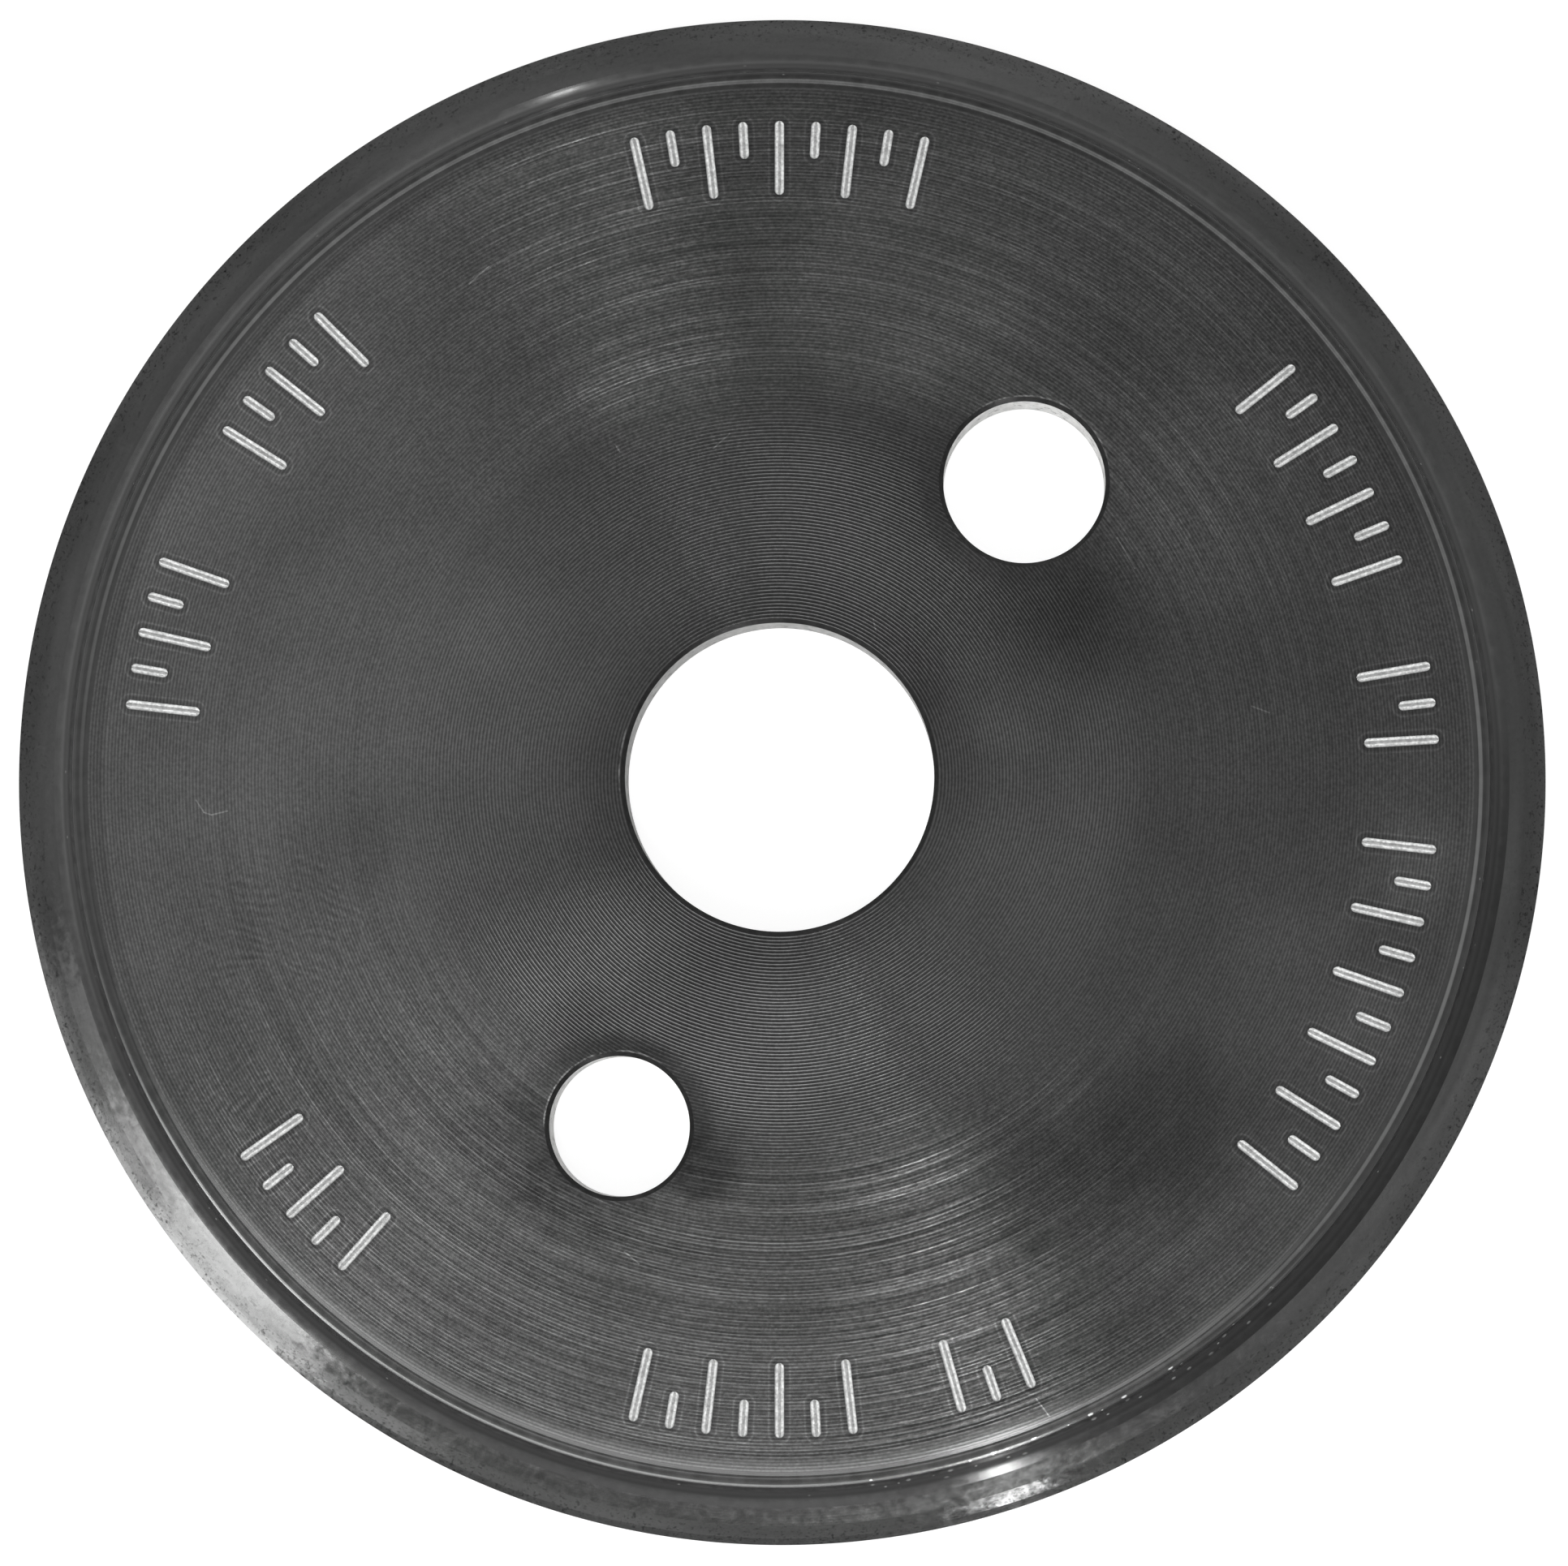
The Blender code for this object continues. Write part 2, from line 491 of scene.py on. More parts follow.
def on_side(nodes, place, azimuth, reach, end, beyond=0.0, within=1.0):
    """One value within reach of a side of the wheel, fading to another at its end."""
    toward = nodes.vector("DOT_PRODUCT", place.outward, direction(azimuth, 90.0))
    return nodes.ramp(toward, cos(radians(end)), cos(radians(reach)), beyond, within)


def painted_side_light(nodes, place, sides):
    """Painted light and shade: a factor that brightens or darkens some sides of the wheel."""
    factor = 1.0
    for azimuth, reach, end, gain in sides:
        factor = nodes.plus(on_side(nodes, place, azimuth, reach, end, within=gain), factor)
    return factor


def painted_side_light_where(nodes, place, sides, share):
    """The same factor, held back where share is below one."""
    change = nodes.math("SUBTRACT", painted_side_light(nodes, place, sides), 1.0)
    return nodes.plus(nodes.times(change, share), 1.0)


def ring_noise(nodes, place, per_mm, round_the_wheel, detail=2.0, roughness=0.6,
               distortion=0.0):
    """Noise with so many cells per millimetre across the rings and per radian round them."""
    around = nodes.scaled(place.outward, round_the_wheel)
    across = nodes.combine(0.0, 0.0, nodes.math("MULTIPLY", place.radius, per_mm))
    return nodes.noise(nodes.vector("ADD", around, across), 1.0, detail, roughness,
                       distortion)


def tipped_normal(nodes, place, slope, side_slope=None):
    """The surface normal leaned along the wheel's radius, as turning marks lean it."""
    normal = nodes.add("ShaderNodeNewGeometry").outputs["Normal"]
    normal = nodes.vector("SUBTRACT", normal, nodes.scaled(place.outward, slope))
    if side_slope is not None:
        normal = nodes.vector("SUBTRACT", normal, nodes.scaled(place.around, side_slope))
    return nodes.vector("NORMALIZE", normal)


def along_the_rings(nodes):
    """Tangent that, with a quarter turn of anisotropy, spreads gloss across the rings."""
    return nodes.add("ShaderNodeTangent", direction_type="RADIAL", axis="Z").outputs[0]


# Marks of use, all on the upper face

def stains_and_painted_shade(nodes, place, ragged):
    """Factor of the darker and brighter patches round the holes and elsewhere, some stained,
    some painted shade and painted light.
    """
    shade = None
    for centre, reach, rim, depth in STAINS_AND_PAINTED_SHADE:
        distance = nodes.vector("DISTANCE", place.flat, (centre[0], centre[1], 0.0))
        edge = nodes.plus(distance, ragged)
        patch = nodes.ramp(edge, reach, reach + rim, 1.0 - depth, 1.0)
        shade = patch if shade is None else nodes.times(shade, patch)
    return shade


def hairline(nodes, place, start, end):
    """Brightness that a straight fine scratch adds."""
    run = (end[0] - start[0], end[1] - start[1], 0.0)
    length_squared = run[0] ** 2 + run[1] ** 2
    reach = nodes.vector("SUBTRACT", place.flat, (start[0], start[1], 0.0))
    along = nodes.math("DIVIDE", nodes.vector("DOT_PRODUCT", reach, run), length_squared,
                       clamp=True)
    nearest = nodes.scaled(run, along)
    distance = nodes.vector("DISTANCE", reach, nearest)
    return nodes.ramp(distance, HAIRLINE_CORE, HAIRLINE_RIM, HAIRLINE_STRENGTH, 0.0)


def fingerprint(nodes, place, centre, reach, whorl, bend, blotches):
    """Ridges of a finger mark inside a soft patch, from minus one to one."""
    distance = nodes.vector("DISTANCE", place.flat, (whorl[0], whorl[1], 0.0))
    ridge = nodes.math("SINE", nodes.plus(nodes.math("MULTIPLY", distance,
                                                     2.0 * pi / FINGER_RIDGE_STEP),
                                          nodes.math("MULTIPLY", bend, FINGER_BEND)))
    away = nodes.vector("DISTANCE", place.flat, (centre[0], centre[1], 0.0))
    patch = nodes.times(nodes.ramp(away, reach * 0.4, reach, 1.0, 0.0), blotches)
    return nodes.times(ridge, patch)


def burr(nodes, place, centre, radius, middle, reach, broken):
    """One along a broken burr line at the mouth of a hole, else nought."""
    from_centre = nodes.vector("SUBTRACT", place.flat, (centre[0], centre[1], 0.0))
    away = nodes.vector("LENGTH", from_centre)
    off = nodes.math("ABSOLUTE", nodes.math("SUBTRACT", away, radius + BURR_OFFSET))
    line = nodes.ramp(off, 0.02, 0.06, 1.0, 0.0)
    way = nodes.vector("NORMALIZE", from_centre)
    side = nodes.vector("DOT_PRODUCT", way, (cos(middle), sin(middle), 0.0))
    arc_part = nodes.ramp(side, cos(reach), cos(reach * 0.6))
    return nodes.times(line, arc_part, broken)


def stroke_halo(nodes, place):
    """Change of brightness round each stroke: dark beside it, then a thin light line."""
    split = nodes.add("ShaderNodeSeparateXYZ", (place.flat,)).outputs
    steps = nodes.math("DIVIDE", nodes.math("ARCTAN2", split["Y"], split["X"]), MARK_STEP)
    index = nodes.math("ROUND", steps)
    present, odd = 0.0, index
    for first, last in MARK_ROWS:
        inside = nodes.math("COMPARE", index, (first + last) / 2.0,
                            (last - first) / 2.0 + 0.25)
        present = nodes.math("MAXIMUM", inside, present)
        if first % 2:
            odd = nodes.plus(odd, inside)
    short = nodes.math("PINGPONG", odd, 1.0)
    length = nodes.ramp(short, 0.0, 1.0, LONG_MARK, SHORT_MARK, smooth=False)
    half_width = MARK_WIDTH / 2.0
    low_end = nodes.math("SUBTRACT", MARK_OUTER_RADIUS + half_width, length)
    nearest = nodes.math("MINIMUM", nodes.math("MAXIMUM", place.radius, low_end),
                         MARK_OUTER_RADIUS - half_width)
    along = nodes.math("SUBTRACT", place.radius, nearest)
    across = nodes.times(nodes.math("SUBTRACT", steps, index), place.radius, MARK_STEP)
    distance = nodes.vector("LENGTH", nodes.combine(along, across, 0.0))
    away = nodes.math("SUBTRACT", distance, half_width)
    dark = nodes.ramp(away, HALO_DARK_FULL, HALO_DARK_END, HALO_DARK, 0.0)
    off_line = nodes.math("ABSOLUTE", nodes.math("SUBTRACT", away, HALO_LINE_PLACE))
    light = nodes.ramp(off_line, 0.02, 0.06, HALO_LINE, 0.0)
    return nodes.times(nodes.plus(dark, light), present)


# Materials

def near_chatter_axis(nodes, place):
    """One on the two opposite sides where the tool chattered, fading to nought beside them."""
    toward = nodes.vector("DOT_PRODUCT", place.outward, direction(CHATTER_AXIS, 90.0))
    return nodes.ramp(nodes.math("ABSOLUTE", toward), cos(radians(CHATTER_END)),
                      cos(radians(CHATTER_FULL)))


def feed_saw(nodes, place):
    """Saw wave of the feed: each turn of the tool left one hollow, so its slope is a saw."""
    wobble = ring_noise(nodes, place, per_mm=0.6, round_the_wheel=0.8, detail=1.0)
    turns = nodes.plus(nodes.math("DIVIDE", place.radius, FEED),
                       nodes.math("MULTIPLY", wobble, FEED_WOBBLE))
    return nodes.math("SUBTRACT", nodes.math("FRACT", turns), 0.5)


def feed_slope(nodes, place, saw, near_axis):
    """Slope of the feed marks, even on the inner part, broken outside, faint by the holes."""
    outer = nodes.ramp(place.radius, EVEN_RADIUS, UNEVEN_RADIUS)
    ring_depth = nodes.ramp(ring_noise(nodes, place, per_mm=1.6, round_the_wheel=1.2),
                            0.35, 0.65, 0.25, 1.0)
    even = nodes.times(nodes.math("SUBTRACT", 1.0, outer),
                       nodes.ramp(near_axis, 0.0, 1.0, 1.0, EVEN_DEPTH_NEAR_AXIS))
    depth = nodes.plus(even, nodes.times(outer, ring_depth, OUTER_DEPTH))
    calm = 1.0
    for centre, radius in ((LARGE_HOLE_CENTRE, LARGE_HOLE_RADIUS),
                           (SMALL_HOLE_CENTRE, SMALL_HOLE_RADIUS)):
        away = nodes.vector("DISTANCE", place.flat, (centre[0], centre[1], 0.0))
        calm = nodes.math("MULTIPLY", nodes.ramp(away, radius + CALM_INNER,
                                                 radius + CALM_OUTER, CALM_DEPTH, 1.0), calm)
    return nodes.times(saw, depth, calm, 2.0 * TOOL_SLOPE)


def uneven_slope(nodes, place, near_axis):
    """Bands and lines of uneven width, broken in places, and deeper where the tool chattered."""
    chatter = nodes.ramp(near_axis, 0.0, 1.0, 1.0, CHATTER_GAIN, smooth=False)
    bands = nodes.swing(ring_noise(nodes, place, per_mm=2.6, round_the_wheel=0.25,
                                   detail=2.0, roughness=0.6), BAND_SLOPE)
    lines = nodes.times(nodes.swing(ring_noise(nodes, place, per_mm=8.0, round_the_wheel=0.4,
                                               detail=1.0, roughness=0.6), LINE_SLOPE),
                        chatter)
    strength = nodes.stretched(ring_noise(nodes, place, per_mm=3.0, round_the_wheel=4.5,
                                          detail=2.0, roughness=0.5), 0.3, 1.3)
    return nodes.plus(bands, nodes.times(lines, strength))


def face_normal(nodes, place, saw, near_axis):
    """Normal of the turned face: feed marks, then uneven marks and torn grains outside."""
    feed = feed_slope(nodes, place, saw, near_axis)
    uneven = uneven_slope(nodes, place, near_axis)
    share = nodes.ramp(place.radius, *TORN_RADII, TORN_INSIDE, 1.0)
    # Torn grains glint, because they lean this way and that.
    grain = nodes.times(nodes.swing(ring_noise(nodes, place, per_mm=11.0, round_the_wheel=45.0,
                                               detail=1.0), GRAIN_SLOPE),
                        nodes.ramp(near_axis, 0.0, 1.0, 1.0, GRAIN_GAIN))
    side_grain = nodes.swing(ring_noise(nodes, place, per_mm=12.0, round_the_wheel=70.0,
                                        detail=1.0), SIDE_GRAIN_SLOPE)
    slope = nodes.plus(feed, nodes.times(nodes.plus(uneven, grain), share))
    # The marks fade where the face rolls off.
    smooth_rim = nodes.ramp(place.radius, FACE_FLAT_RADIUS - 0.1, FACE_FLAT_RADIUS + 0.25,
                            1.0, ROLLED_MARKS)
    return tipped_normal(nodes, place, nodes.times(slope, smooth_rim),
                         nodes.times(side_grain, share, smooth_rim))


def finger_marks(nodes, place):
    """Ridges of both finger marks."""
    bend = nodes.noise(place.point, 0.35, detail=1.0, roughness=0.5)
    blotches = nodes.ramp(nodes.noise(place.point, 0.9, detail=1.0, roughness=0.6), 0.42, 0.6)
    return nodes.plus(*[fingerprint(nodes, place, centre, reach, whorl, bend, blotches)
                        for centre, reach, whorl in FINGER_MARKS])


def burrs(nodes, place):
    """Burr lines at the mouths of the three holes."""
    broken = nodes.ramp(nodes.noise(place.point, 2.2, detail=1.0, roughness=0.7), 0.32, 0.56)
    return nodes.plus(*[
        burr(nodes, place, centre, radius, radians(middle), radians(reach), broken)
        for centre, radius, middle, reach in BURRS])


def upper_marks(nodes, place):
    """What shows on the upper face alone, as a change of brightness."""
    # Stains, and patches of painted shade and painted light.
    ragged = nodes.swing(nodes.noise(place.point, 0.5, detail=1.0, roughness=0.6), PATCH_WANDER)
    marks = nodes.math("SUBTRACT", stains_and_painted_shade(nodes, place, ragged), 1.0)
    marks = nodes.plus(marks, nodes.math("MULTIPLY", finger_marks(nodes, place),
                                         FINGER_STRENGTH))
    for start, end in HAIRLINES:
        marks = nodes.plus(marks, hairline(nodes, place, start, end))
    return nodes.plus(marks, nodes.math("MULTIPLY", burrs(nodes, place), BURR_STRENGTH),
                      stroke_halo(nodes, place))


def painted_light_sides(nodes, place, top_side):
    """Factor of the painted light on some sides of the upper face."""
    painted_light = 1.0
    inside = nodes.times(nodes.ramp(place.radius, FACE_FLAT_RADIUS - 0.3,
                                    FACE_FLAT_RADIUS + 0.1, 1.0, 0.3), top_side)
    for azimuth, start, full, gain in PAINTED_LIGHT_SIDES:
        toward = nodes.vector("DOT_PRODUCT", place.flat, direction(azimuth, 90.0))
        painted_light = nodes.plus(nodes.times(nodes.ramp(toward, start, full, 0.0, gain), inside),
                             painted_light)
    return painted_light


def turned_face():
    """Blackened face with the tool's feed marks, clouds, stained patches and fine scratches, and
    painted shade and light.
    """
    material = bpy.data.materials.new("turned_face")
    nodes = Nodes(material)
    place = WheelPlace(nodes)
    near_axis = near_chatter_axis(nodes, place)
    saw = feed_saw(nodes, place)
    normal = face_normal(nodes, place, saw, near_axis)

    clouds = nodes.noise(place.point, 0.11, detail=2.0, roughness=0.55)
    fine = nodes.noise(place.point, 6.5, detail=1.0, roughness=0.6)
    shade = nodes.times(nodes.stretched(clouds, 0.86, 1.14, smooth=False),
                        nodes.stretched(fine, 0.86, 1.14, smooth=False))
    # Painted shade at the bottoms of the feed hollows and painted light on their edges.
    painted_valley_shade = nodes.ramp(nodes.math("ABSOLUTE", saw), 0.1, 0.42, 0.74, 1.12)
    round_the_bore = nodes.ramp(place.radius, *BORE_SHADE_RADII, BORE_SHADE, 1.0)
    shade = nodes.times(shade, painted_valley_shade, round_the_bore)
    top_side = nodes.ramp(place.height, THICKNESS * 0.4, THICKNESS * 0.6)
    marks = nodes.times(upper_marks(nodes, place), top_side)
    shade = nodes.times(shade, nodes.plus(marks, 1.0))
    # Painted light on some sides of the face, and painted light and shade on the roll-off.
    rolled = nodes.ramp(place.radius, FACE_FLAT_RADIUS, FACE_FLAT_RADIUS + 0.3)
    shade = nodes.times(shade, painted_light_sides(nodes, place, top_side),
                        painted_side_light_where(nodes, place, ROLL_OFF_PAINTED_SIDES, rolled))
    roughness = nodes.times(nodes.ramp(place.radius, *ROUGHNESS_RADII, *FACE_ROUGHNESS),
                            nodes.ramp(near_axis, 0.0, 1.0, 1.0, CHATTER_ROUGHNESS),
                            nodes.stretched(fine, 0.9, 1.1))
    nodes.finish(Base_Color=nodes.scaled(FACE_COLOUR, shade), Metallic=1.0,
                 Roughness=roughness, Normal=normal, Anisotropic=0.85,
                 Anisotropic_Rotation=0.25, Tangent=along_the_rings(nodes))
    return material


def painted_cove_glints(nodes, place):
    """Small painted glints in the cove, more and larger on one side.

    The wheel is unrolled, so that the glints are small cells of a flat pattern. The lower
    half takes another stretch of the pattern.
    """
    split = nodes.add("ShaderNodeSeparateXYZ", (place.flat,)).outputs
    turn = nodes.math("ARCTAN2", split["Y"], split["X"])
    below = nodes.math("LESS_THAN", place.height, HALF)
    laid_flat = nodes.combine(
        nodes.plus(nodes.times(turn, GLINTS_ALONG * COVE_TOP_RADIUS),
                   nodes.times(below, LOWER_GLINTS_OFFSET)),
        nodes.math("MULTIPLY", place.radius, GLINTS_ACROSS), 0.0)
    cells = nodes.add("ShaderNodeTexVoronoi", {"Vector": laid_flat, "Scale": 1.0},
                      voronoi_dimensions="2D")
    crowd = on_side(nodes, place, GLINTING_SIDE, reach=6.0, end=24.0)
    sort = nodes.add("ShaderNodeSeparateColor", (cells.outputs["Color"],)).outputs
    size = nodes.times(nodes.ramp(crowd, 0.0, 1.0, 1.0, GLINT_GROWTH),
                       nodes.ramp(sort["Green"], 0.0, 1.0, 0.35, 1.25, smooth=False))
    dot = nodes.ramp(nodes.math("DIVIDE", cells.outputs["Distance"], size),
                     0.05, 0.13, 1.0, 0.0)
    chosen = nodes.ramp(nodes.plus(sort["Red"], nodes.math("MULTIPLY", crowd,
                                                           GLINT_CROWDING)),
                        EMPTY_CELLS, EMPTY_CELLS + 0.01)
    in_cove = nodes.times(nodes.ramp(place.radius, *GLINTS_START),
                          nodes.ramp(place.radius, *GLINTS_END, 1.0, 0.0))
    return nodes.times(dot, chosen, in_cove, GLINT_BRIGHTNESS)


def painted_ridge_highlight(nodes, place):
    """Painted highlight on the ridge between the two grooves, on one side of the wheel."""
    away = nodes.math("ABSOLUTE", nodes.math("SUBTRACT", place.radius, RIDGE_RADIUS + 0.05))
    highlight_side = on_side(nodes, place, RIDGE_HIGHLIGHT_SIDE, 70.0, 145.0, *RIDGE_HIGHLIGHT_GAIN)
    return nodes.times(nodes.ramp(away, 0.05, 0.12, 1.0, 0.0), highlight_side)


def cove_steel():
    """Blackened turned steel of the rings and the cove, with painted shade and light, a painted
    highlight on the ridge and painted glints.
    """
    material = bpy.data.materials.new("cove_steel")
    nodes = Nodes(material)
    place = WheelPlace(nodes)
    lines = nodes.swing(ring_noise(nodes, place, per_mm=14.0, round_the_wheel=5.0), 0.02)
    normal = tipped_normal(nodes, place, lines)
    mottle = nodes.noise(place.point, 1.6, detail=3.0, roughness=0.6)
    # Painted shade darkens the steep inner part of the cove, and painted light brightens it by
    # the crest and towards the corner.
    lower = nodes.ramp(place.radius, *COVE_FLOOR_ZONE, *COVE_PAINTED_SHADE)
    upper = nodes.times(nodes.ramp(place.radius, *CREST_FADE, 1.0, 0.0),
                        nodes.ramp(place.radius, *CREST_ZONE, *CREST_PAINTED_LIGHT))
    shade = nodes.times(nodes.math("MAXIMUM", lower, upper),
                        nodes.stretched(mottle, 0.9, 1.1, smooth=False))
    beyond_crest = nodes.ramp(place.radius, COVE_TOP_RADIUS - 0.02, COVE_TOP_RADIUS + 0.04)
    on_crest = nodes.times(nodes.ramp(place.radius, COVE_TOP_RADIUS - CREST_LIP,
                                      COVE_TOP_RADIUS - CREST_LIP + 0.03),
                           nodes.math("SUBTRACT", 1.0, beyond_crest))
    # Painted shade and light on some sides of the cove and of its crest.
    shade = nodes.times(shade, painted_side_light_where(nodes, place, COVE_PAINTED_SIDES, beyond_crest),
                        painted_side_light_where(nodes, place, CREST_PAINTED_SIDES, on_crest))
    # Painted highlight on the ridge and painted glints in the cove.
    shade = nodes.plus(shade, painted_ridge_highlight(nodes, place), painted_cove_glints(nodes, place))
    nodes.finish(Base_Color=nodes.scaled(COVE_COLOUR, shade), Metallic=1.0,
                 Roughness=nodes.stretched(mottle, 0.17, 0.23), Normal=normal,
                 Anisotropic=0.8, Anisotropic_Rotation=0.25, Tangent=along_the_rings(nodes))
    return material


def bevel_pits(nodes, place):
    """Depth of shade of the pits, and of finer crumbs beside the cutting edge."""
    pits = ring_noise(nodes, place, per_mm=5.0, round_the_wheel=90.0, detail=3.0,
                      roughness=0.65)
    crumbs = ring_noise(nodes, place, per_mm=9.0, round_the_wheel=230.0, detail=1.0,
                        roughness=0.6)
    pitted = nodes.ramp(place.radius, CORNER_RADIUS + 0.3, BAND_RADIUS + 0.1, 0.2, 1.0)
    near_edge = nodes.ramp(place.radius, BAND_RADIUS - 0.2, EDGE_RADIUS)
    return nodes.plus(nodes.times(nodes.ramp(pits, 0.32, 0.42, 0.4, 0.0), pitted),
                      nodes.times(nodes.ramp(crumbs, 0.3, 0.42, 0.45, 0.0), near_edge))


def ground_bevel():
    """Ground bevel, smoother than the turned face, with heat-stained patches, fine lines and
    painted light on two sides.
    """
    material = bpy.data.materials.new("ground_bevel")
    nodes = Nodes(material)
    place = WheelPlace(nodes)
    lines = nodes.swing(ring_noise(nodes, place, per_mm=16.0, round_the_wheel=4.0), 0.016)
    dents = nodes.swing(ring_noise(nodes, place, per_mm=3.0, round_the_wheel=80.0,
                                   detail=2.0), 0.02)
    side_dents = nodes.swing(ring_noise(nodes, place, per_mm=3.4, round_the_wheel=70.0,
                                        detail=2.0), 0.02)
    normal = tipped_normal(nodes, place, nodes.plus(lines, dents), side_dents)
    broad = ring_noise(nodes, place, per_mm=0.8, round_the_wheel=2.6, detail=3.0,
                       roughness=0.5, distortion=0.4)
    flow = nodes.noise(place.point, 1.1, detail=4.0, roughness=0.65, distortion=1.6)
    fine = nodes.noise(place.point, 7.0, detail=2.0, roughness=0.6)
    creases = nodes.math("ABSOLUTE", nodes.math("SUBTRACT", flow, 0.56))
    # The side factor is painted light on two sides of the bevels.
    shade = nodes.times(nodes.stretched(broad, 0.78, 1.26, smooth=False),
                        painted_side_light(nodes, place, BEVEL_PAINTED_SIDES),
                        nodes.stretched(flow, 0.94, 1.06, smooth=False),
                        nodes.stretched(fine, 0.96, 1.04, smooth=False),
                        nodes.ramp(creases, 0.0, 0.02, 0.86, 1.0),
                        nodes.math("SUBTRACT", 1.0, bevel_pits(nodes, place)))
    nodes.finish(Base_Color=nodes.scaled(BEVEL_COLOUR, shade), Metallic=1.0,
                 Roughness=nodes.stretched(flow, 0.13, 0.2), Normal=normal,
                 Anisotropic=0.5, Anisotropic_Rotation=0.25, Tangent=along_the_rings(nodes))
    return material


def bare_wall():
    """Bare steel inside the holes, duller in the bore, with a few dark specks."""
    material = bpy.data.materials.new("bare_wall")
    nodes = Nodes(material)
    place = WheelPlace(nodes)
    specks = nodes.noise(place.point, 2.4, detail=3.0, roughness=0.7)
    upright = nodes.vector("MULTIPLY", place.point, (3.0, 3.0, 0.5))
    streaks = nodes.noise(upright, 1.0, detail=2.0)
    in_pin_holes = nodes.ramp(place.radius, 9.0, 10.0, 0.45, 0.74)
    shade = nodes.times(in_pin_holes, nodes.ramp(specks, 0.33, 0.42, 0.3, 1.0),
                        nodes.stretched(streaks, 0.88, 1.12, smooth=False))
    nodes.finish(Base_Color=nodes.scaled(WALL_COLOUR, shade), Metallic=0.45, Roughness=0.5,
                 Specular_IOR_Level=0.0, Specular_Tint=(0.2, 0.2, 0.2, 1.0))
    return material


def chamfer_steel():
    """Dark, nearly matt chamfers at the mouths of the holes."""
    material = bpy.data.materials.new("chamfer_steel")
    nodes = Nodes(material)
    place = WheelPlace(nodes)
    mottle = nodes.noise(place.point, 3.0, detail=3.0, roughness=0.6)
    colour = nodes.scaled(CHAMFER_COLOUR, nodes.stretched(mottle, 0.8, 1.2))
    nodes.finish(Base_Color=colour, Metallic=1.0, Roughness=0.38)
    return material


def etched_mark():
    """Light, crusty metal that a laser leaves."""
    material = bpy.data.materials.new("etched_mark")
    nodes = Nodes(material)
    place = WheelPlace(nodes)
    grain = nodes.noise(place.point, 8.0, detail=3.0, roughness=0.7)
    low = nodes.ramp(place.height, THICKNESS - MARK_DEPTH, THICKNESS - 0.4 * MARK_DEPTH,
                     1.0, 0.46)
    shade = nodes.times(nodes.ramp(grain, 0.35, 0.65, 0.72, 1.15), low)
    bump = nodes.add("ShaderNodeBump", {"Strength": 1.0, "Distance": CRUST_BUMP * MM,
                                        "Height": grain})
    nodes.finish(Base_Color=nodes.scaled(ETCHED_COLOUR, shade), Metallic=0.35, Roughness=0.5,
                 Normal=bump.outputs[0])
    return material


# Wheel mesh

def arc(start, end, turn, steps):
    """Points of a hollow arc that falls from start to end, start left out."""
    run, drop = end[0] - start[0], start[1] - end[1]
    end_slope = atan2(drop, run) - turn / 2.0
    radius = hypot(run, drop) / (2.0 * sin(turn / 2.0))
    centre = (end[0] + radius * sin(end_slope), end[1] + radius * cos(end_slope))
    slopes = [end_slope + turn * (1.0 - step / steps) for step in range(1, steps + 1)]
    return [(centre[0] - radius * sin(s), centre[1] - radius * cos(s)) for s in slopes]


def roll_off(steps):
    """Points where the flat face turns down towards the rings, start left out."""
    run = ROLL_OFF_RADIUS - FACE_FLAT_RADIUS
    points = []
    for step in range(1, steps + 1):
        share = step / steps
        points.append((FACE_FLAT_RADIUS + run * share,
                       HALF - run * tan(ROLL_OFF_ANGLE) * share * share / 2.0))
    return points


def upper_section():
    """(radius, height) points over the upper half, each with the kind of surface after it."""
    edge_height = (RADIUS - EDGE_RADIUS) * tan(EDGE_ANGLE)
    band_height = edge_height + (EDGE_RADIUS - BAND_RADIUS) * tan(BAND_ANGLE)
    corner_height = band_height + (BAND_RADIUS - CORNER_RADIUS) * tan(MAIN_BEVEL_ANGLE)
    land = HALF - LAND_DEPTH
    section = [
        ((BORE_RADIUS, HALF - CHAMFER), CHAMFERED),
        ((BORE_RADIUS + CHAMFER, HALF), FACE),
        ((BORE_RADIUS + CHAMFER + GUARD_WIDTH, HALF), FACE),
        ((FACE_FLAT_RADIUS - GUARD_WIDTH, HALF), FACE),
        ((FACE_FLAT_RADIUS, HALF), FACE),
    ]
    rolled = roll_off(ROLL_OFF_STEPS)
    section += [(point, FACE) for point in rolled]
    section[-1] = (rolled[-1], COVE)
    section += [((RIDGE_RADIUS + off, land + rise), COVE) for off, rise in RIDGE_SECTION]
    section += [((LAND_START_RADIUS, land), COVE),
                ((COVE_TOP_RADIUS - CREST_LIP, land), COVE)]
    # The crest is a narrow lip that leans out, then rounds over.
    lip, height = COVE_TOP_RADIUS - CREST_LIP, land
    for width, slope in LIP_RINGS:
        lip += width
        height -= width * tan(radians(slope))
        section.append(((lip, height), COVE))
    for slope in ROUNDING_SLOPES:
        out = CREST_ROUNDING * (sin(radians(slope)) - sin(ROUNDING_START))
        down = CREST_ROUNDING * (cos(ROUNDING_START) - cos(radians(slope)))
        section.append(((lip + out, height - down), COVE))
    top = section[-1][0]
    section += [(point, COVE) for point in arc(top, (CORNER_RADIUS, corner_height),
                                               COVE_TURN, COVE_STEPS)]
    section[-1] = (section[-1][0], BEVEL)
    section.append(((BAND_RADIUS, band_height), BEVEL))
    section.append(((EDGE_RADIUS, edge_height), BEVEL))
    return section


def whole_section():
    """Closed section of the wheel, raised to stand on z = 0."""
    upper = upper_section()
    section = upper + [((RADIUS, 0.0), BEVEL)]
    for index in range(len(upper) - 1, -1, -1):
        (radius, height), _ = upper[index]
        kind = upper[index - 1][1] if index > 0 else WALL
        section.append(((radius, -height), kind))
    return [((radius, height + HALF), kind) for (radius, height), kind in section]


